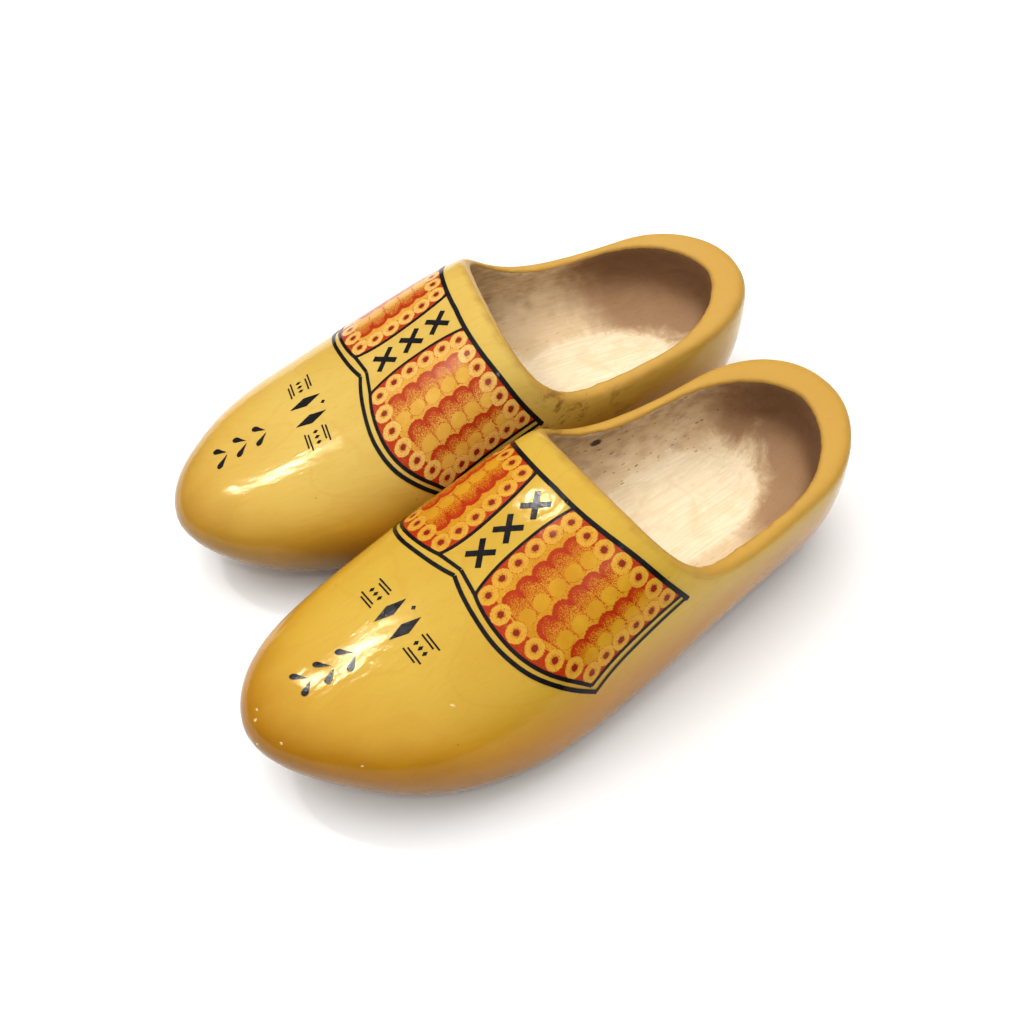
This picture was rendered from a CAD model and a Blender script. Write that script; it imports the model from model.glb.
import math

import bpy
import numpy as np
from mathutils import Matrix, Vector, noise
from mathutils.bvhtree import BVHTree


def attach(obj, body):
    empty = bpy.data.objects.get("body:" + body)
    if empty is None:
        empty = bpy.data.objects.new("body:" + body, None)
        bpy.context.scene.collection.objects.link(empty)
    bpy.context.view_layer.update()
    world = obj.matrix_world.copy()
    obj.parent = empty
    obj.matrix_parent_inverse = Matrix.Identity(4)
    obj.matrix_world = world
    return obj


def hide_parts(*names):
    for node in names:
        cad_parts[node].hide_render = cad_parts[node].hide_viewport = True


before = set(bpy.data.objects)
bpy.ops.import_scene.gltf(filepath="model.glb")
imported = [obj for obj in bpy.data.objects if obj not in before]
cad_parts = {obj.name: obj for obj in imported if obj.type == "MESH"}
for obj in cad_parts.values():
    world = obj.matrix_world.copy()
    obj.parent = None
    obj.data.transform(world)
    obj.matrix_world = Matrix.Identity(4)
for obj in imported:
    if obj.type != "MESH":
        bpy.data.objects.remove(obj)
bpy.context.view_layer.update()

MM = 0.001

# ---------------------------------------------------------------- the clog's own frame, in millimetres
# X runs to the outer side of the foot, Y back from the toe tip, Z up. Same driving sizes as part.py.
LENGTH = 290.0
NOSE_ROUND = 58.0
HEEL_ROUND = 42.0
TIP_HEIGHT = 34.0
HEEL_HEIGHT = 56.0
SHIFT = [(0, -14.5), (20, -11.5), (45, -6.5), (90, -2), (145, 1.5), (200, 6), (250, 8), (290, 6)]
HALF_WIDTH = [(0, 40), (45, 51), (90, 60), (145, 56), (200, 48.5), (250, 42), (290, 38)]
CROWN = [(0, 58), (45, 56), (90, 68), (145, 91), (200, 104), (250, 106), (290, 104)]
WIDEST = [(0, 36), (45, 28), (90, 22), (145, 25), (200, 44), (250, 54), (290, 56)]
UPPER_POWER = [(0, 2.2), (90, 2.6), (145, 3.0), (200, 2.8), (290, 2.4)]
TOE_OUT = math.radians(8.0)
APART = 55.6
AHEAD = {"left": -4.751, "right": 5.849}
OFF_CENTRE = {"left": -5.0, "right": 2.0}
COAT = 0.3

# Borders of a patterned field, as (distance back, girth from the painting's centre line).
LOBE = [
    (98.3, 12.5), (96.3, 22), (95.9, 32), (97.2, 42),
    (100.8, 51.5), (105.8, 59.5), (112, 67.5), (117, 74.5),
]
SIDE = [(117, 74.5), (127, 72.3), (141, 71), (152, 70), (164, 69.3)]
TOP = [(146, 12), (146.2, 17.6), (148.2, 30), (152.5, 44), (157, 55.5), (164, 69.3)]
STRIP = [(98.3, 12.5), (109.8, 9.7), (122, 9.3), (134, 10), (146, 12)]


def at(rows, y):
    """Smooth value at y through the rows; y is a number or an array."""
    y = np.asarray(y, float)
    xs = np.array([row[0] for row in rows], float)
    vs = np.array([row[1] for row in rows], float)
    last = len(rows) - 1
    low = np.maximum(np.arange(last + 1) - 1, 0)
    high = np.minimum(np.arange(last + 1) + 1, last)
    slopes = (vs[high] - vs[low]) / (xs[high] - xs[low])
    i = np.clip(np.searchsorted(xs, y, side="right") - 1, 0, last - 1)
    h = xs[i + 1] - xs[i]
    t = (y - xs[i]) / h
    ends = vs[i] * (1 + 2 * t) * (1 - t) ** 2 + vs[i + 1] * t * t * (3 - 2 * t)
    return ends + h * slopes[i] * t * (1 - t) ** 2 - h * slopes[i + 1] * t * t * (1 - t)


def rounding(distance, radius):
    return np.sqrt(1 - (1 - np.minimum(distance / radius, 1)) ** 2)


def upper_point(y, angle, grow):
    """Points on the upper half of the block; crown is at 90 degrees."""
    nose, heel = rounding(y, NOSE_ROUND), rounding(LENGTH - y, HEEL_ROUND)
    share = np.minimum(nose, heel)
    end = np.where(nose < heel, TIP_HEIGHT, HEEL_HEIGHT)
    widest = end + (at(WIDEST, y) - end) * share
    top = end + (at(CROWN, y) - end) * share
    half_width = at(HALF_WIDTH, y) * share
    power = at(UPPER_POWER, y)
    c, s = np.cos(angle), np.sin(angle)
    full = (np.abs(c) ** power + np.abs(s) ** power) ** (-1 / power)
    x = at(SHIFT, y) + c * full * (half_width + grow)
    z = widest + s * full * (top - widest + grow)
    return np.stack([x, y, z], axis=-1)


def to_row(points, foot):
    """Own millimetres to row-frame metres."""
    c, s = math.cos(TOE_OUT), math.sin(TOE_OUT)
    x, y, z = points[..., 0], points[..., 1] - LENGTH / 2, points[..., 2]
    out = np.stack([c * x - s * y + APART, s * x + c * y + AHEAD[foot], z], axis=-1) * MM
    if foot == "right":
        out[..., 0] *= -1
    return out


def to_own(points, foot):
    """Row-frame metres to own millimetres."""
    c, s = math.cos(TOE_OUT), math.sin(TOE_OUT)
    x = points[..., 0] / MM * (-1 if foot == "right" else 1) - APART
    y = points[..., 1] / MM - AHEAD[foot]
    return np.stack([c * x + s * y, -s * x + c * y + LENGTH / 2, points[..., 2] / MM], axis=-1)


def smoothstep(low, high, value):
    t = np.clip((value - low) / (high - low), 0, 1)
    return t * t * (3 - 2 * t)


# ---------------------------------------------------------------- mesh helpers
def coordinates(mesh):
    co = np.empty(len(mesh.vertices) * 3)
    mesh.vertices.foreach_get("co", co)
    return co.reshape(-1, 3)


def nearest(tree, points):
    """Nearest points on a tree, and how far away they are."""
    found = [tree.find_nearest(p)[0:4:3] for p in points.tolist()]
    return np.array([f[0] for f in found]), np.array([f[1] for f in found])


def tree_of(mesh):
    faces = [tuple(p.vertices) for p in mesh.polygons]
    return BVHTree.FromPolygons(coordinates(mesh).tolist(), faces)


def quad_normals(points, quads):
    a, b, c, d = (points[quads[:, k]] for k in range(4))
    face = np.cross(c - a, d - b)
    out = np.zeros_like(points)
    for k in range(4):
        for axis in range(3):
            out[:, axis] += np.bincount(quads[:, k], face[:, axis], len(points))
    return out / np.maximum(np.linalg.norm(out, axis=1, keepdims=True), 1e-12)


def relaxed(points, edges, rounds):
    """Each point drawn halfway toward the mean of its neighbours, a number of times."""
    degree = np.maximum(np.bincount(edges.ravel(), minlength=len(points)), 1)[:, None]
    for _ in range(rounds):
        total = np.zeros_like(points)
        for k in range(points.shape[1]):
            total[:, k] = np.bincount(edges[:, 0], points[edges[:, 1], k], len(points))
            total[:, k] += np.bincount(edges[:, 1], points[edges[:, 0], k], len(points))
        points = points + 0.5 * (total / degree - points)
    return points


def new_piece(name, points, faces, foot, node, material, paint):
    """A smooth mesh object that stands for a CAD node and rides on its clog."""
    mesh = bpy.data.meshes.new(name)
    mesh.from_pydata(points.tolist(), [], faces.tolist())
    mesh.shade_smooth()
    own = mesh.attributes.new("own", "FLOAT_VECTOR", "POINT")
    own.data.foreach_set("vector", to_own(points, foot).astype(np.float32).ravel())
    layer = mesh.attributes.new("paint", "FLOAT_COLOR", "POINT")
    layer.data.foreach_set("color", paint.astype(np.float32).ravel())
    mesh.materials.append(material)
    piece = bpy.data.objects.new(name, mesh)
    bpy.context.scene.collection.objects.link(piece)
    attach(piece, f"{foot}_clog")
    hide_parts(node)


def shell(outer, inner, quads):
    """Closed thin skin between two layers of the same quads."""
    count = len(outer)
    sides = np.concatenate([quads[:, [k, (k + 1) % 4]] for k in range(4)])
    key = np.sort(sides, axis=1)
    _, first, uses = np.unique(key[:, 0] * count + key[:, 1], return_index=True, return_counts=True)
    rim = sides[first[uses == 1]]
    walls = np.stack([rim[:, 1], rim[:, 0], rim[:, 0] + count, rim[:, 1] + count], axis=1)
    faces = np.concatenate([quads, quads[:, ::-1] + count, walls])
    return np.concatenate([outer, inner]), faces


def smooth_noise(points, size, seed):
    """Smooth noise in -1..1 at points in millimetres."""
    shift = Vector((seed * 13.7, seed * 5.1, seed * 9.3))
    return np.array([noise.noise(Vector(p) / size + shift) for p in points.tolist()])


# ---------------------------------------------------------------- node materials
class Shader:
    """A material whose nodes are added by name, with sockets or plain values as inputs."""

    def __init__(self, name):
        self.material = bpy.data.materials.new(name)
        self.material.use_nodes = True
        self.tree = self.material.node_tree
        self.tree.nodes.clear()

    def add(self, kind, inputs=None, **settings):
        node = self.tree.nodes.new("ShaderNode" + kind)
        for key, value in settings.items():
            setattr(node, key, value)
        for key, value in (inputs or {}).items():
            if isinstance(value, bpy.types.NodeSocket):
                self.tree.links.new(value, node.inputs[key])
            else:
                node.inputs[key].default_value = value
        return node

    def math(self, operation, a, b=0.0, clamp=False):
        return self.add("Math", {0: a, 1: b}, operation=operation, use_clamp=clamp).outputs[0]

    def ramp(self, value, low, high, out_low=0.0, out_high=1.0):
        inputs = {"Value": value, "From Min": low, "From Max": high, "To Min": out_low, "To Max": out_high}
        return self.add("MapRange", inputs, interpolation_type="SMOOTHSTEP").outputs[0]

    def mix(self, factor, a, b):
        return self.add("Mix", {"Factor": factor, 6: a, 7: b}, data_type="RGBA").outputs[2]

    def noise(self, vector, scale, detail=3.0, rough=0.55, warp=0.0):
        inputs = {"Vector": vector, "Scale": scale, "Detail": detail, "Roughness": rough, "Distortion": warp}
        return self.add("TexNoise", inputs).outputs[0]

    def scaled(self, vector, x, y, z):
        return self.add("Mapping", {"Vector": vector, "Scale": (x, y, z)}).outputs[0]

    def split(self, vector):
        return self.add("SeparateXYZ", {0: vector}).outputs

    def own_place(self):
        """Where a point lies in the clog's own frame, in millimetres."""
        return self.add("Attribute", attribute_name="own").outputs["Vector"]

    def paint(self):
        """The three painted amounts of a point; each material says what its own are."""
        return self.split(self.add("Attribute", attribute_name="paint").outputs["Color"])

    def bump(self, height, distance, strength=1.0, after=None):
        inputs = {"Height": height, "Distance": distance, "Strength": strength}
        if after is not None:
            inputs["Normal"] = after
        return self.add("Bump", inputs).outputs[0]

    def cells(self, vector, feature="F1"):
        return self.add("TexVoronoi", {"Vector": vector, "Scale": 1.0}, feature=feature).outputs

    def finish(self, inputs):
        surface = self.add("BsdfPrincipled", inputs).outputs[0]
        self.add("OutputMaterial", {"Surface": surface})
        return self.material


def colour(red, green, blue):
    """Linear colour from everyday 0-255 numbers."""
    out = [((c / 255 + 0.055) / 1.055) ** 2.4 if c > 10 else c / 255 / 12.92 for c in (red, green, blue)]
    return (*out, 1.0)


def growth_lines(s, own):
    """Long flame-shaped growth lines, cut at an angle by the curved side."""
    bent = s.noise(s.scaled(own, 0.022, 0.009, 0.022), 1.0, 2.0, 0.5, 0.3)
    x, _, z = s.split(own)
    field = s.math("ADD", s.math("MULTIPLY", z, 0.055), s.math("MULTIPLY", bent, 5.5))
    field = s.math("ADD", field, s.math("MULTIPLY", x, 0.021))
    return s.math("PINGPONG", field, 0.5)


# The dark knot in the left clog's inner wall, and the oval of the footbed that the foot keeps pale:
# its middle line, how far it reaches to each side, and where and how far it rounds off at the heel.
KNOT = (-37.5, 193.8, 54.5)
OVAL_MIDDLE = -4.0
OVAL_OUTER = 30.0
OVAL_INNER = 21.0
OVAL_BACK = 205.0
OVAL_ROUND = 50.0


def pale_oval(s, own, uneven):
    """0 in the middle of the footbed, 1 at the edge of its pale oval, and more beyond."""
    x, y, _ = s.split(own)
    off = s.math("SUBTRACT", x, OVAL_MIDDLE)
    out = s.math("MAXIMUM", s.math("DIVIDE", off, OVAL_OUTER), s.math("DIVIDE", off, -OVAL_INNER))
    back = s.math("DIVIDE", s.math("MAXIMUM", s.math("SUBTRACT", y, OVAL_BACK), 0.0), OVAL_ROUND)
    oval = s.math("SQRT", s.math("ADD", s.math("MULTIPLY", out, out), s.math("MULTIPLY", back, back)))
    return s.math("ADD", oval, s.math("MULTIPLY", uneven, 0.7))


def foot_stains(s, base, own, uneven, oval, wall):
    """Beige walls round the pale oval, and a brown heel cup that is darkest high at the back."""
    x, y, z = s.split(own)
    base = s.mix(s.math("MULTIPLY", wall, 0.58), base, colour(204, 168, 122))
    rear = s.math("ADD", y, s.math("MULTIPLY", uneven, 30.0))
    rear = s.math("ADD", rear, s.math("MULTIPLY", s.math("MAXIMUM", x, 0.0), 0.7))
    heel = s.math("MULTIPLY", s.ramp(rear, 232.0, 262.0), s.ramp(oval, 0.98, 1.22))
    base = s.mix(s.math("MULTIPLY", heel, 0.8), base, colour(138, 96, 62))
    deep = s.math("MULTIPLY", s.ramp(rear, 246.0, 272.0), s.ramp(z, 36.0, 50.0))
    return s.mix(s.math("MULTIPLY", deep, 0.65), base, colour(80, 46, 20))


def torn_specks(s, own, oval, wall):
    """Dark specks and short torn fibres along the grain, thickest on the walls and along their foot."""
    speck = 0.0
    foot_of_wall = s.math("MULTIPLY", s.ramp(oval, 0.86, 0.98), s.ramp(oval, 1.2, 1.04))
    dense = s.math("ADD", s.math("MULTIPLY", wall, 0.16), s.math("MULTIPLY", foot_of_wall, 0.2))
    for wide, long in ((0.42, 0.16), (0.8, 0.3)):
        cells = s.cells(s.scaled(own, wide, long, wide))
        chosen = s.ramp(s.math("ADD", s.split(cells["Color"])[0], dense), 0.82, 0.92)
        spot = s.ramp(cells["Distance"], 0.12, 0.24, 1.0, 0.0)
        speck = s.math("MAXIMUM", speck, s.math("MULTIPLY", spot, chosen))
    speck = s.math("MULTIPLY", speck, s.ramp(oval, 0.85, 1.05, 0.12, 0.9))
    return s.math("MULTIPLY", speck, s.ramp(s.split(own)[0], -6.0, -18.0, 0.3, 1.0))


def dark_knot(s, own):
    """1 inside the ragged oval knot."""
    away = s.add("VectorMath", {0: own, 1: KNOT}, operation="SUBTRACT").outputs[0]
    away = s.add("VectorMath", {0: s.scaled(away, 1.0, 0.55, 0.8)}, operation="LENGTH").outputs["Value"]
    ragged = s.noise(s.scaled(own, 0.5, 0.4, 0.5), 1.0, 3.0)
    away = s.math("ADD", away, s.math("MULTIPLY", ragged, 1.6))
    return s.ramp(away, 2.3, 3.1, 1.0, 0.0)


def raw_poplar():
    """Bare wood; its paint is how near the dirty lip a point is, and whether its clog has the knot."""
    s = Shader("raw_poplar_wood")
    own = s.own_place()
    lip, knotted, _ = s.paint()
    grain = s.noise(s.scaled(own, 0.9, 0.03, 0.9), 1.0, 5.0, 0.6)
    broad = s.noise(s.scaled(own, 0.035, 0.02, 0.035), 1.0, 4.0, 0.6, 0.4)
    base = s.mix(s.ramp(grain, 0.3, 0.7), colour(233, 217, 186), colour(225, 203, 166))
    cloud = s.noise(s.scaled(own, 0.09, 0.06, 0.09), 1.0, 4.0, 0.6, 0.8)
    base = s.mix(s.ramp(cloud, 0.48, 0.62, 0.0, 0.3), base, colour(214, 186, 138))
    lines = s.ramp(growth_lines(s, own), 0.42, 0.5)
    base = s.mix(s.math("MULTIPLY", lines, 0.14), base, colour(196, 160, 112))

    uneven = s.noise(s.scaled(own, 0.05, 0.045, 0.05), 1.0, 5.0, 0.62, 0.6)
    uneven = s.math("SUBTRACT", uneven, 0.5)
    oval = pale_oval(s, own, uneven)
    wall = s.math("MULTIPLY", s.ramp(oval, 0.94, 1.1), s.ramp(broad, 0.25, 0.65, 0.65, 1.0))
    base = foot_stains(s, base, own, uneven, oval, wall)
    streak = s.noise(s.scaled(own, 0.32, 0.1, 0.32), 1.0, 5.0, 0.7)
    dirt = s.math("MULTIPLY", lip, s.ramp(streak, 0.34, 0.7, 0.25, 1.0))
    base = s.mix(s.math("MULTIPLY", dirt, 0.66), base, colour(124, 88, 58))
    speck = torn_specks(s, own, oval, wall)
    base = s.mix(s.math("MULTIPLY", speck, 0.75), base, colour(104, 72, 48))
    knot = s.math("MULTIPLY", dark_knot(s, own), knotted)
    base = s.mix(s.math("MULTIPLY", knot, 0.93), base, colour(38, 27, 22))

    height = s.math("ADD", s.math("MULTIPLY", grain, 0.7), s.math("MULTIPLY", speck, -0.6))
    fine = s.noise(s.scaled(own, 2.6, 0.22, 2.6), 1.0, 3.0, 0.6)
    normal = s.bump(s.math("ADD", height, s.math("MULTIPLY", fine, 0.4)), 0.00028, 0.8)
    rough = s.ramp(grain, 0.2, 0.8, 0.62, 0.82)
    return s.finish({"Base Color": base, "Roughness": rough, "Normal": normal, "Specular IOR Level": 0.25})


# Lacquer of each clog: two tones of the crown, two of the flank, then low down and at the ground.
# The right one has yellowed less.
LACQUER_TONES = {
    "left": [(196, 160, 60), (189, 149, 48), (182, 124, 6), (174, 115, 4), (150, 97, 14), (106, 73, 28)],
    "right": [(200, 168, 82), (194, 158, 70), (190, 142, 34), (184, 132, 28), (156, 112, 40), (112, 84, 46)],
}
WARM_GLOSS = (1.0, 0.86, 0.58, 1.0)


def aged_amber(s, own, grain, tones):
    """Clear amber over the crown, deeper on the flank, and browned toward the ground, most at the toe."""
    _, y, z = s.split(own)
    broad = s.noise(s.scaled(own, 0.02, 0.011, 0.02), 1.0, 3.0, 0.5, 0.3)
    crown = s.mix(s.ramp(broad, 0.3, 0.7), tones[0], tones[1])
    flank = s.mix(s.ramp(broad, 0.3, 0.7), tones[2], tones[3])
    base = s.mix(s.ramp(z, 34.0, 62.0), flank, crown)
    base = s.mix(s.ramp(grain, 0.45, 0.75, 0.0, 0.16), base, colour(184, 122, 22))
    lines = s.ramp(growth_lines(s, own), 0.4, 0.5)
    base = s.mix(s.math("MULTIPLY", lines, 0.09), base, colour(176, 110, 24))
    cloud = s.noise(s.scaled(own, 0.045, 0.03, 0.045), 1.0, 4.0, 0.6)
    low = s.math("ADD", z, s.math("MULTIPLY", cloud, 14.0))
    low = s.math("ADD", low, s.math("MULTIPLY", s.math("MINIMUM", y, 100.0), 0.22))
    base = s.mix(s.ramp(low, 68.0, 46.0, 0.0, 0.85), base, tones[4])
    return s.mix(s.ramp(low, 54.0, 32.0, 0.0, 0.85), base, tones[5])


def lacquer_wear(s, base, own, dent, grime):
    """Dust specks caught in the coat, chips down to pale wood at the dents, and grime at its edges."""
    cells = s.cells(s.scaled(own, 0.16, 0.1, 0.16))
    chosen = s.ramp(s.split(cells["Color"])[0], 0.55, 0.7)
    speck = s.math("MULTIPLY", s.ramp(cells["Distance"], 0.03, 0.07, 1.0, 0.0), chosen)
    base = s.mix(s.math("MULTIPLY", speck, 0.6), base, colour(120, 78, 30))
    ragged = s.noise(s.scaled(own, 1.1, 0.8, 1.1), 1.0, 4.0, 0.7)
    chip = s.ramp(s.math("ADD", dent, s.math("MULTIPLY", ragged, 1.6)), 1.25, 1.4)
    base = s.mix(s.ramp(s.math("ADD", dent, ragged), 0.9, 1.1, 0.0, 0.5), base, colour(140, 92, 40))
    base = s.mix(s.math("MULTIPLY", chip, 0.85), base, colour(232, 206, 156))
    return s.mix(s.math("MULTIPLY", grime, 0.55), base, colour(120, 80, 30))


def rubbed_side(s, own):
    """Where the two clogs rub against each other: the inner side, under the mouth."""
    x, y, _ = s.split(own)
    scuff = s.noise(s.scaled(own, 0.12, 0.07, 0.12), 1.0, 5.0, 0.7, 0.5)
    rubbed = s.math("MULTIPLY", s.ramp(x, -36.0, -46.0), s.ramp(y, 150.0, 172.0))
    return s.math("MULTIPLY", rubbed, s.ramp(scuff, 0.52, 0.66))


def amber_lacquer(foot):
    """Glossy amber; its paint is how dented, how grimy and how near the sawn rim a point is."""
    s = Shader(f"{foot}_amber_lacquer")
    own = s.own_place()
    dent, grime, rim = s.paint()
    grain = s.noise(s.scaled(own, 0.75, 0.02, 0.75), 1.0, 4.0, 0.6)
    base = aged_amber(s, own, grain, [colour(*tone) for tone in LACQUER_TONES[foot]])
    base = lacquer_wear(s, base, own, dent, grime)
    # The sawn rim soaks up its lacquer: paler orange and nearly matte.
    base = s.mix(s.math("MULTIPLY", rim, 0.75), base, colour(186, 139, 60))
    base = s.mix(s.math("MULTIPLY", rubbed_side(s, own), 0.75), base, colour(112, 72, 30))

    peel = s.noise(s.scaled(own, 0.9, 0.6, 0.9), 1.0, 3.0, 0.55)
    ripple = s.noise(s.scaled(own, 0.1, 0.05, 0.1), 1.0, 2.0, 0.5)
    knife = s.cells(s.scaled(own, 0.36, 0.13, 0.36), "SMOOTH_F1")["Distance"]
    normal = s.bump(peel, 0.00005, 0.8)
    normal = s.bump(grain, 0.000025, 0.6, normal)
    normal = s.bump(ripple, 0.0003, 0.3, normal)
    normal = s.bump(knife, 0.00012, 0.8, normal)
    rough = s.ramp(grain, 0.2, 0.8, 0.07, 0.12)
    rough = s.math("ADD", rough, s.math("MULTIPLY", rim, 0.32))
    return s.finish({
        "Base Color": base, "Roughness": rough, "Normal": normal, "IOR": 1.5,
        "Specular IOR Level": 0.32, "Specular Tint": WARM_GLOSS,
    })


def black_enamel():
    s = Shader("black_enamel_paint")
    place = s.add("TexCoord").outputs["Object"]
    cloud = s.noise(place, 260.0, 3.0)
    base = s.mix(s.ramp(cloud, 0.3, 0.8), colour(10, 9, 11), colour(24, 21, 23))
    normal = s.bump(s.noise(place, 900.0, 2.0), 0.00006, 0.6)
    rough = s.ramp(cloud, 0.2, 0.8, 0.08, 0.15)
    return s.finish({"Base Color": base, "Roughness": rough, "Normal": normal, "Specular IOR Level": 0.12})


# Amber ground under the stencil, and the paler amber of its rings and discs.
STENCIL_TONES = {
    "left": [(196, 144, 30), (186, 128, 20), (206, 158, 56)],
    "right": [(208, 160, 66), (198, 146, 50), (216, 176, 96)],
}


def red_stencil(foot):
    """Stippled red over amber; its paint is how red, how dark and how pale a point is."""
    s = Shader(f"{foot}_red_stencil")
    tones = [colour(*tone) for tone in STENCIL_TONES[foot]]
    own = s.own_place()
    red, dark, pale = s.paint()
    grit = s.noise(s.scaled(own, 2.4, 2.4, 2.4), 1.0, 2.0, 0.7)
    uneven = s.math("SUBTRACT", grit, 0.5)
    fleck = s.math("ADD", s.math("SUBTRACT", red, 0.5), s.math("MULTIPLY", uneven, 2.6))
    broad = s.noise(s.scaled(own, 0.08, 0.08, 0.08), 1.0, 3.0)
    amber = s.mix(s.ramp(broad, 0.3, 0.7), tones[0], tones[1])
    amber = s.mix(s.math("MULTIPLY", pale, 1.2, clamp=True), amber, tones[2])
    paint = s.mix(s.ramp(grit, 0.35, 0.65), colour(150, 26, 4), colour(172, 48, 8))
    base = s.mix(s.ramp(fleck, -0.1, 0.12), amber, paint)
    centre = s.ramp(s.math("ADD", dark, s.math("MULTIPLY", uneven, 1.2)), 0.42, 0.58)
    base = s.mix(centre, base, colour(122, 26, 16))
    ripple = s.noise(s.scaled(own, 0.1, 0.05, 0.1), 1.0, 2.0, 0.5)
    normal = s.bump(grit, 0.00006, 0.7)
    normal = s.bump(ripple, 0.0003, 0.35, normal)
    return s.finish({
        "Base Color": base, "Roughness": s.ramp(grit, 0.2, 0.8, 0.1, 0.2), "Normal": normal,
        "Specular IOR Level": 0.22, "Specular Tint": WARM_GLOSS,
    })


# ---------------------------------------------------------------- the carved wood and its lacquer
VOXEL = 1.33 * MM
EASED = 0.38 * MM
FAIRING_ROUNDS = 14
# Tool marks: how deep the knife cut, and how deep under the painting, the gouge's hollows, and wear.
KNIFE_DEEP = 0.26
PAINTED_DEEP = 0.06
GOUGE_WIDE = 15.0
GOUGE_LONG = 24.0
GOUGE_DEEP = 0.5
SOLE_WEAR = 0.15
# The lacquer skin: how far it stands off the wood, reaches into it, and dips where it ends.
SKIN = 0.35
SKIN_BACK = 0.06
TUCKED = 0.16
# Small dents in the lacquer: where, how wide and how deep.
DENTS = {
    "left": [
        ((-14.8, 5.3, 43.9), 2.2, 0.35), ((-17.5, 8.0, 45.5), 1.7, 0.3), ((-8.5, 1.3, 38.0), 1.6, 0.3),
        ((0.3, 8.5, 44.2), 1.8, 0.35), ((32.5, 67.8, 55.3), 1.7, 0.3), ((26.8, 28.7, 42.5), 1.5, 0.25),
    ],
    "right": [((-12.0, 6.0, 46.0), 1.8, 0.3), ((20.0, 26.0, 48.0), 1.6, 0.3), ((38.0, 60.0, 50.0), 1.7, 0.3)],
}
# The sawn rim, as (distance back, height).
RIM_CURVE = [(136, 127), (155, 99.5), (168, 78.5), (182, 66.5), (215, 61), (252, 65.5), (300, 71)]


def even_quads(node):
    """Points, quads and edges of an even mesh over the whole block."""
    source = bpy.data.objects.new("source", node.data.copy())
    bpy.context.scene.collection.objects.link(source)
    weld = source.modifiers.new("weld", "WELD")
    weld.merge_threshold = 1e-6
    remesh = source.modifiers.new("remesh", "REMESH")
    remesh.mode = "VOXEL"
    remesh.voxel_size = VOXEL
    result = source.evaluated_get(bpy.context.evaluated_depsgraph_get())
    mesh = bpy.data.meshes.new_from_object(result)
    quads = np.empty(len(mesh.loops), int)
    mesh.loops.foreach_get("vertex_index", quads)
    edges = np.empty(len(mesh.edges) * 2, int)
    mesh.edges.foreach_get("vertices", edges)
    points = coordinates(mesh)
    bpy.data.objects.remove(source)
    bpy.data.meshes.remove(mesh)
    return points, quads.reshape(-1, 4), edges.reshape(-1, 2)


def faired(points, edges, body):
    """The points drawn smooth, but no further than EASED from the body, which only eases its edges."""
    points, _ = nearest(body, points)
    points = relaxed(points, edges, FAIRING_ROUNDS)
    flat, away = nearest(body, points)
    share = np.minimum(1, EASED / np.maximum(away, 1e-9))[:, None]
    return relaxed(flat + (points - flat) * share, edges, 2)


def tool_marks(own, coat_away, under, seed):
    """How deep the knife, the spoon gouge and wear have cut below the faired surface, in millimetres."""
    inner = smoothstep(0.8, 9, coat_away) * (1 - under)
    painted = smoothstep(18, 30, own[:, 1]) * smoothstep(178, 165, own[:, 1]) * smoothstep(18, 34, own[:, 2])
    broad = 0.5 + 0.5 * smooth_noise(own * (1, 0.55, 1), 15.0, seed)
    knife = KNIFE_DEEP - (KNIFE_DEEP - PAINTED_DEEP) * painted
    depth = (1 - smoothstep(0.3, 1.0, coat_away)) * broad * knife
    gouge = (GOUGE_WIDE, GOUGE_LONG, GOUGE_WIDE)
    cells = [noise.voronoi(Vector(place))[0][:2] for place in (own / gouge).tolist()]
    ratio = np.array([near / max(far, 1e-6) for near, far in cells])
    depth += inner * (GOUGE_DEEP * (1 - ratio**2) + 0.12 * broad)
    worn = 0.5 + 0.5 * smooth_noise(own, 9.0, seed + 4)
    return depth + SOLE_WEAR * under * worn * smoothstep(0.5, 6, coat_away)


def carved_surface(foot):
    """The block's outer and inner surface as even quads, faired, with tool marks, wear and dents."""
    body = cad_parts[f"{foot}_clog_body"]
    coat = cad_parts[f"{foot}_lacquer_coat"]
    points, quads, edges = even_quads(body)
    points = faired(points, edges, tree_of(body.data))
    normals = quad_normals(points, quads)
    own = to_own(points, foot)
    coat_away = nearest(tree_of(coat.data), points)[1] / MM
    under = smoothstep(-0.35, -0.7, normals[:, 2]) * smoothstep(16, 12, own[:, 2])
    depth = tool_marks(own, coat_away, under, 1 if foot == "left" else 2)
    dents = np.zeros(len(points))
    for place, reach, deep in DENTS[foot]:
        near = np.exp(-((own - place) ** 2).sum(axis=1) / (0.6 * reach) ** 2)
        dents = np.maximum(dents, near)
        depth += deep * near * 0.7
    points = points - normals * (depth * MM)[:, None]
    points[:, 2] = np.maximum(points[:, 2], 0)
    return points, quads, quad_normals(points, quads), coat_away, dents, under


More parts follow.
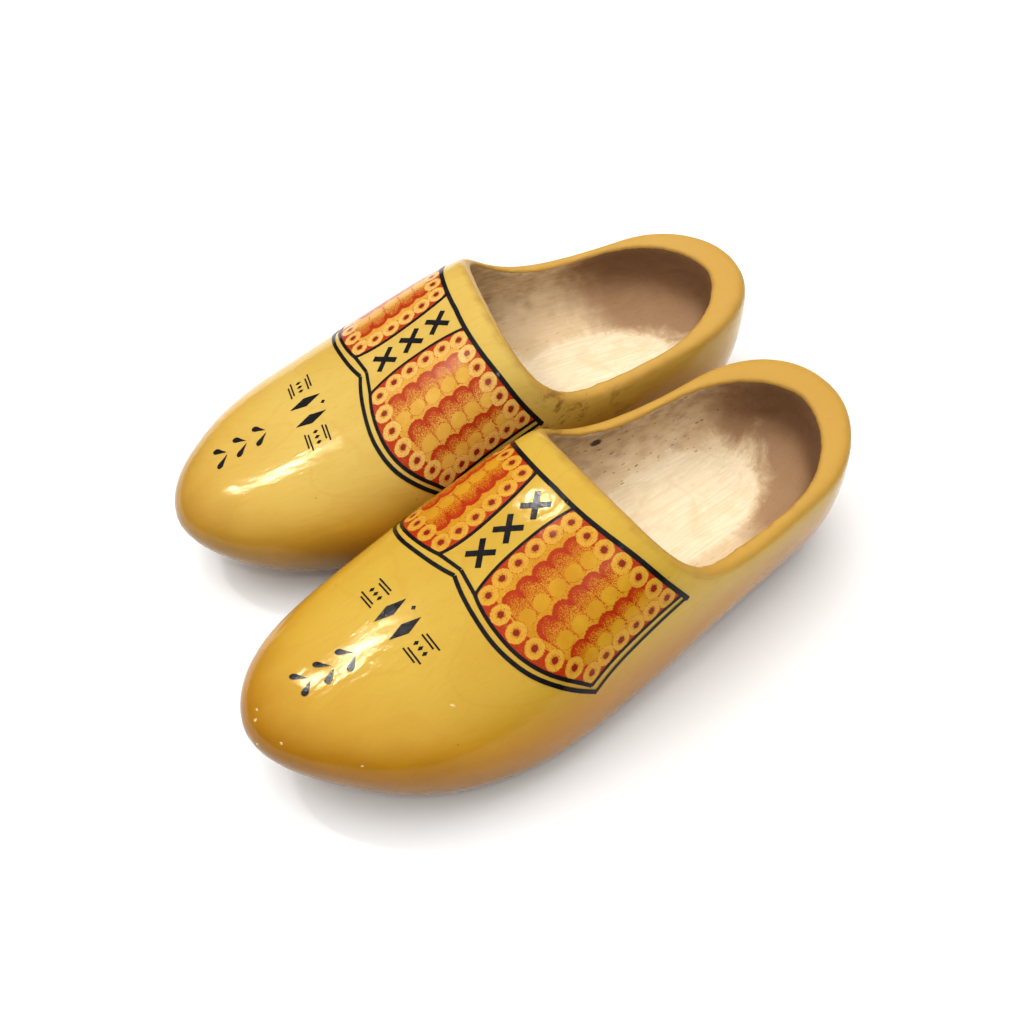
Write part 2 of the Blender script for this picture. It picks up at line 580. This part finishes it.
def clog(foot, wood, lacquer):
    """The carved wood and its lacquer; returns the lacquer's outer surface."""
    points, quads, normals, coat_away, dents, under = carved_surface(foot)
    own = to_own(points, foot)
    ones = np.ones(len(points))
    wander = smooth_noise(own, 5.0, 3 if foot == "left" else 6)
    lip = smoothstep(17, 1.0, coat_away + 7 * wander) * (1 - under)
    knotted = ones if foot == "left" else 0 * ones
    stains = np.stack([lip, knotted, 0 * ones, ones], axis=1)
    new_piece(f"{foot}_carved_wood", points, quads, foot, f"{foot}_clog_body", wood, stains)

    # The lacquer ends just over the inner lip and wears off at the sole: there it dips under the wood.
    bare = smoothstep(0.75, 1.9, coat_away + 0.25 * wander)
    bare = np.maximum(bare, smoothstep(1.5, 0.5, own[:, 2] + 0.6 * wander))
    thick = SKIN - (SKIN + TUCKED) * bare
    outer = points + normals * (thick * MM)[:, None]
    outer[:, 2] = np.maximum(outer[:, 2], 0)
    inner = points + normals * ((np.minimum(thick, 0) - SKIN_BACK) * MM)[:, None]
    kept = quads[(thick[quads] > -0.75 * TUCKED).any(axis=1)]
    used = np.unique(kept)
    index = np.full(len(points), -1)
    index[used] = np.arange(len(used))
    skin, faces = shell(outer[used], inner[used], index[kept])
    grime = smoothstep(6, 1, own[:, 2] + 4 * wander) * 0.8
    grime = np.maximum(grime, smoothstep(0.3, 0.8, coat_away + 0.15 * wander))
    drop = np.abs(own[:, 2] - at(RIM_CURVE, own[:, 1]))
    rim = smoothstep(4.5, 1.5, drop) * smoothstep(150, 162, own[:, 1])
    wear = np.stack([smoothstep(0.25, 0.9, dents), grime, rim, ones], axis=1)[used]
    new_piece(
        f"{foot}_lacquer_skin", skin, faces, foot, f"{foot}_lacquer_coat",
        lacquer, np.concatenate([wear, wear]),
    )
    return BVHTree.FromPolygons(outer[used].tolist(), index[kept].tolist())


# ---------------------------------------------------------------- the patterned fields
# Mesh cells of a field, from strip to side and from lobe to top.
CELLS_ALONG = 190
CELLS_ACROSS = 160
# Gaps between rings, from strip to side and from lobe to top.
RINGS_ACROSS = 6
RINGS_ALONG = 5
RING_RADIUS = 4.05
# How far the rings' centres lie inside the border, as shares of the field's width and length.
INSET_U = 5.0 / 62.0
INSET_V = 5.0 / 50.0
# Where each row's scales begin, where their disc lies, and the disc's radius.
SCALE_ROWS = [(0.165, 0.345, 3.3), (0.42, 0.6, 3.3), (0.675, 0.81, 3.1)]
STAGGERED_ROW = 1
SCALES_IN_ROW = 5
SCALE_RADIUS = 4.3
# How far the field's film stands over the lacquer and reaches into it.
FILM_FRONT = 0.10
FILM_BACK = 0.06
LIFT_SMOOTHING = 60
# The stretch of the vamp that the painting lies on, as distances back.
VAMP_FROM, VAMP_TO = 84.0, 182.0


def through(path, t):
    """Points at shares t of the length of a smooth curve through a path."""
    rows = np.array(path, float)
    steps = np.concatenate([[0], np.cumsum(np.linalg.norm(np.diff(rows, axis=0), axis=1))])
    where = np.asarray(t) * steps[-1]
    return np.stack([at(list(zip(steps, rows[:, k])), where) for k in (0, 1)], axis=-1)


def patch(u, v):
    """(distance back, girth) inside the four borders; u goes from strip to side, v from lobe to top."""
    u, v = np.asarray(u, float), np.asarray(v, float)
    low, high = through(LOBE, u), through(TOP, u)
    near, far = through(STRIP, v), through(SIDE, v)
    u, v = u[..., None], v[..., None]
    corner = [np.array(p, float) for p in (LOBE[0], LOBE[-1], TOP[0], TOP[-1])]
    both = (1 - v) * ((1 - u) * corner[0] + u * corner[1]) + v * ((1 - u) * corner[2] + u * corner[3])
    return (1 - v) * low + v * high + (1 - u) * near + u * far - both


def painting_points(spots):
    """Points on the lacquer for (distance back, girth from the crown line) spots."""
    ys = np.arange(VAMP_FROM, VAMP_TO, 1.0)
    # From the crown to just below the widest line.
    angles = np.linspace(math.pi / 2, -0.05, 260)
    table = upper_point(np.repeat(ys[:, None], len(angles), 1), np.repeat(angles[None], len(ys), 0), COAT)
    girths = np.concatenate(
        [np.zeros((len(ys), 1)), np.cumsum(np.linalg.norm(np.diff(table, axis=1), axis=2), axis=1)], axis=1
    )
    y, girth = spots[:, 0], spots[:, 1]
    row = np.clip((y - ys[0]).astype(int), 0, len(ys) - 2)
    share = y - ys[0] - row
    angle = np.zeros(len(spots))
    for k in range(len(ys) - 1):
        pick = row == k
        if pick.any():
            near = np.interp(np.abs(girth[pick]), girths[k], angles)
            far = np.interp(np.abs(girth[pick]), girths[k + 1], angles)
            angle[pick] = near + (far - near) * share[pick]
    angle = np.where(girth < 0, math.pi - angle, angle)
    return upper_point(y, angle, COAT)


def add_scale(amounts, spots, top_u, disc_u, disc_size, cv):
    """One scale: a domed cap that fades into a tail, with a pale disc near its end."""
    red, dark, pale = amounts
    along = patch(disc_u, cv) - patch(top_u, cv)
    reach = np.linalg.norm(along)
    along = along / reach
    offset = spots - patch(top_u, cv) - along * SCALE_RADIUS
    s = offset @ along
    across = offset @ np.array([-along[1], along[0]])
    tail = reach - SCALE_RADIUS
    width = SCALE_RADIUS * (1 - 0.1 * np.clip(s / max(tail, 1), 0, 1))
    bow = np.hypot(np.minimum(s, 0), across)
    inside = (bow < width) & (s < tail + 3.2)
    cap = smoothstep(2.6, 0.2, width - bow) * smoothstep(3.0, -0.5, s)
    fade = np.clip(1 - (s + SCALE_RADIUS) / reach, 0, 1)
    border = bow > width - 0.45
    amount = np.clip(0.34 + 0.5 * fade + 0.4 * cap, 0, 0.98)
    amount = np.where(border, np.where(s > 2.5, 0.62, 0.98), amount)
    dark = np.where(inside, np.where(border & (s < 2.5), 0.4, 0.16 * cap), dark)
    red = np.where(inside, amount, red)
    pale = np.where(inside, 0, pale)
    disc = np.linalg.norm(spots - patch(disc_u, cv) - along * 0.8, axis=1)
    red = np.where(disc < disc_size, 0.05, np.where(disc < disc_size + 0.32, 0.5, red))
    return red, dark, pale


def add_ring(amounts, spots, cu, cv, size):
    """One pale ring with a dark red centre."""
    red, dark, pale = amounts
    away = np.linalg.norm(spots - patch(cu, cv), axis=1)
    ring = away < size
    red = np.where(ring, 0.22, red)
    red = np.where((away >= size) & (away < size + 0.3), np.maximum(red, 0.5), red)
    near = np.clip(1 - (away - 1.0) / 2.1, 0, 1)
    red = np.where(ring, np.maximum(red, 0.62 * near), red)
    dark = np.maximum(dark, smoothstep(1.85, 0.9, away))
    pale = np.where(ring, smoothstep(1.2, 2.6, away) * 0.5, pale)
    return red, dark, pale


def pattern_colours(u, v, spots):
    """How red, how dark and how pale each point is: border rings and rows of overlapping scales."""
    wobble = np.random.default_rng(7)
    # The band of the rings starts as red ground.
    edge = np.minimum(np.minimum(u, 1 - u) / (1.9 * INSET_U), np.minimum(v, 1 - v) / (1.9 * INSET_V))
    amounts = np.where(edge < 0.72, 0.93, 0.26), np.zeros(len(spots)), np.zeros(len(spots))
    # Scales, the rows nearest the strip first and each row from top to lobe.
    starts = np.linspace(0.5 / SCALES_IN_ROW, 1 - 0.5 / SCALES_IN_ROW, SCALES_IN_ROW)
    starts = INSET_V * 1.55 + starts * (1 - 3.1 * INSET_V)
    for k, (top_u, disc_u, disc_size) in enumerate(SCALE_ROWS):
        for start in starts[::-1]:
            cv = start + wobble.uniform(-0.006, 0.006) + (0.03 if k == STAGGERED_ROW else 0.0)
            amounts = add_scale(amounts, spots, top_u, disc_u, disc_size, cv)
    # Rings along the lobe and the top, then along the strip and the side.
    places = [(i / RINGS_ACROSS, j) for i in range(RINGS_ACROSS + 1) for j in (0, 1)]
    places += [(i, j / RINGS_ALONG) for i in (0, 1) for j in range(1, RINGS_ALONG)]
    for pu, pv in places:
        cu = INSET_U + pu * (1 - 2 * INSET_U)
        cv = INSET_V + pv * (1 - 2 * INSET_V)
        amounts = add_ring(amounts, spots, cu, cv, RING_RADIUS + wobble.uniform(-0.12, 0.12))
    return np.stack([*amounts, np.ones(len(spots))], axis=1)


def field(foot, which, surface, material):
    """One patterned field, laid on the lacquer between the black lines."""
    side = 1 if which == "outer" else -1
    us, vs = np.linspace(0, 1, CELLS_ALONG + 1), np.linspace(0, 1, CELLS_ACROSS + 1)
    u, v = (grid.ravel() for grid in np.meshgrid(us, vs, indexing="ij"))
    spots = patch(u, v)
    colours = pattern_colours(u, v, spots)
    girths = np.stack([spots[:, 0], side * spots[:, 1] + OFF_CENTRE[foot]], axis=1)
    plain = to_row(painting_points(girths), foot)
    index = np.arange(len(u)).reshape(CELLS_ALONG + 1, CELLS_ACROSS + 1)
    quads = np.stack([index[:-1, :-1], index[1:, :-1], index[1:, 1:], index[:-1, 1:]], axis=-1).reshape(-1, 4)
    normals = quad_normals(plain, quads)
    if normals[:, 2].mean() < 0:
        quads = quads[:, ::-1]
        normals = -normals
    found, _ = nearest(surface, plain)
    lift = ((found - plain) * normals).sum(axis=1).reshape(index.shape)
    for _ in range(LIFT_SMOOTHING):
        padded = np.pad(lift, 1, mode="edge")
        lift = (padded[:-2, 1:-1] + padded[2:, 1:-1] + padded[1:-1, :-2] + padded[1:-1, 2:]) / 4
    lift = lift.ravel()
    outer = plain + normals * (lift + FILM_FRONT * MM)[:, None]
    inner = plain + normals * (lift - FILM_BACK * MM)[:, None]
    skin, faces = shell(outer, inner, quads)
    new_piece(
        f"{foot}_{which}_pattern", skin, faces, foot, f"{foot}_{which}_field",
        material, np.concatenate([colours, colours]),
    )


wood, enamel = raw_poplar(), black_enamel()
for foot in ("left", "right"):
    surface = clog(foot, wood, amber_lacquer(foot))
    stencil = red_stencil(foot)
    for which in ("outer", "inner"):
        field(foot, which, surface, stencil)
    for painted in ("panel_outline", "lace_crosses", "toe_sprig", "vamp_motif"):
        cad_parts[f"{foot}_{painted}"].data.materials[0] = enamel

# ---------------------------------------------------------------- floor, light and camera
FLOOR_REACH = 4.0
FLOOR_DROP = 0.0004
WALL_SIDES = 96
WALL_RADIUS = 3.98
WALL_LOW, WALL_HIGH = -0.1, 8.0
TARGET = Vector((0.01796, -0.00824, 0.040))
LAMP_DISTANCE = 1.3
FILL_DISTANCE = 1.5
LENS = 42.0
DISTANCE = 0.5296
AZIMUTH = math.radians(64.99)
ELEVATION = math.radians(52.67)
ROLL = math.radians(-4.0)


def stage_piece(name, points, faces, material):
    mesh = bpy.data.meshes.new(name)
    mesh.from_pydata(points, [], faces)
    mesh.materials.append(material)
    piece = bpy.data.objects.new(name, mesh)
    bpy.context.scene.collection.objects.link(piece)
    return piece


def studio_floor():
    s = Shader("studio_floor_white")
    white = s.finish({"Base Color": (0.96, 0.96, 0.96, 1), "Roughness": 0.9, "Specular IOR Level": 0.1})
    r = FLOOR_REACH
    corners = [(-r, -r, 0), (r, -r, 0), (r, r, 0), (-r, r, 0)]
    floor = stage_piece("studio_floor", corners, [(0, 1, 2, 3)], white)
    floor.location.z = -FLOOR_DROP


def studio_backdrop():
    """A pale round wall behind the floor, which only the camera sees."""
    s = Shader("studio_backdrop_white")
    glow = s.add("Emission", {"Color": (0.93, 0.93, 0.93, 1), "Strength": 1.0})
    s.add("OutputMaterial", {"Surface": glow.outputs[0]})
    turns = [math.tau * i / WALL_SIDES for i in range(WALL_SIDES)]
    points = [
        (WALL_RADIUS * math.cos(turn), WALL_RADIUS * math.sin(turn), height)
        for height in (WALL_LOW, WALL_HIGH) for turn in turns
    ]
    panels = []
    for i in range(WALL_SIDES):
        after = (i + 1) % WALL_SIDES
        panels.append((i, after, after + WALL_SIDES, i + WALL_SIDES))
    wall = stage_piece("studio_backdrop", points, panels, s.material)
    wall.visible_diffuse = False
    wall.visible_glossy = False
    wall.visible_transmission = False
    wall.visible_shadow = False


def studio_sky():
    """A soft ceiling that fades to a dim room at the horizon."""
    world = bpy.data.worlds.new("studio_world")
    bpy.context.scene.world = world
    world.use_nodes = True
    sky = world.node_tree
    direction = sky.nodes.new("ShaderNodeTexCoord").outputs["Generated"]
    height = sky.nodes.new("ShaderNodeSeparateXYZ")
    sky.links.new(direction, height.inputs[0])
    fade = sky.nodes.new("ShaderNodeMapRange")
    fade.interpolation_type = "SMOOTHSTEP"
    for key, value in {"From Min": 0.2, "From Max": 0.95, "To Min": 0.16, "To Max": 1.25}.items():
        fade.inputs[key].default_value = value
    sky.links.new(height.outputs[2], fade.inputs["Value"])
    sky.links.new(fade.outputs[0], sky.nodes["Background"].inputs["Strength"])
    sky.nodes["Background"].inputs["Color"].default_value = (1, 0.99, 0.97, 1)


def softbox(name, direction, distance, width, height, power):
    """A rectangular lamp that faces the clogs from a direction."""
    light = bpy.data.lights.new(name, "AREA")
    light.shape = "RECTANGLE"
    light.size, light.size_y = width, height
    light.energy = power
    lamp = bpy.data.objects.new(name, light)
    bpy.context.scene.collection.objects.link(lamp)
    direction = Vector(direction).normalized()
    lamp.location = TARGET + direction * distance
    lamp.rotation_euler = direction.to_track_quat("Z", "Y").to_euler()
    return lamp


def place_camera():
    level = math.cos(ELEVATION)
    back = Vector((math.sin(AZIMUTH) * level, -math.cos(AZIMUTH) * level, math.sin(ELEVATION)))
    right = Vector((math.cos(AZIMUTH), math.sin(AZIMUTH), 0))
    up = back.cross(right)
    across = math.cos(ROLL) * right + math.sin(ROLL) * up
    upward = -math.sin(ROLL) * right + math.cos(ROLL) * up
    camera = bpy.data.objects.new("camera", bpy.data.cameras.new("camera"))
    bpy.context.scene.collection.objects.link(camera)
    camera.data.lens = LENS
    turn = Matrix((across, upward, back)).transposed().to_4x4()
    camera.matrix_world = Matrix.Translation(TARGET + back * DISTANCE) @ turn
    bpy.context.scene.camera = camera


studio_floor()
studio_backdrop()
studio_sky()
softbox("key_window", (-0.46, -0.33, 0.83), LAMP_DISTANCE, 0.03, 0.15, 2.2)
softbox("second_window", (0.40, -0.20, 0.90), LAMP_DISTANCE, 0.05, 0.06, 0.8)
# A broad fill that shapes the clogs and softens the shadows, without a reflection of its own.
fill = softbox("ceiling_fill", (-0.30, -0.05, 0.95), FILL_DISTANCE, 1.8, 1.8, 18.5)
fill.visible_glossy = False
place_camera()
bpy.context.scene.view_settings.view_transform = "Standard"
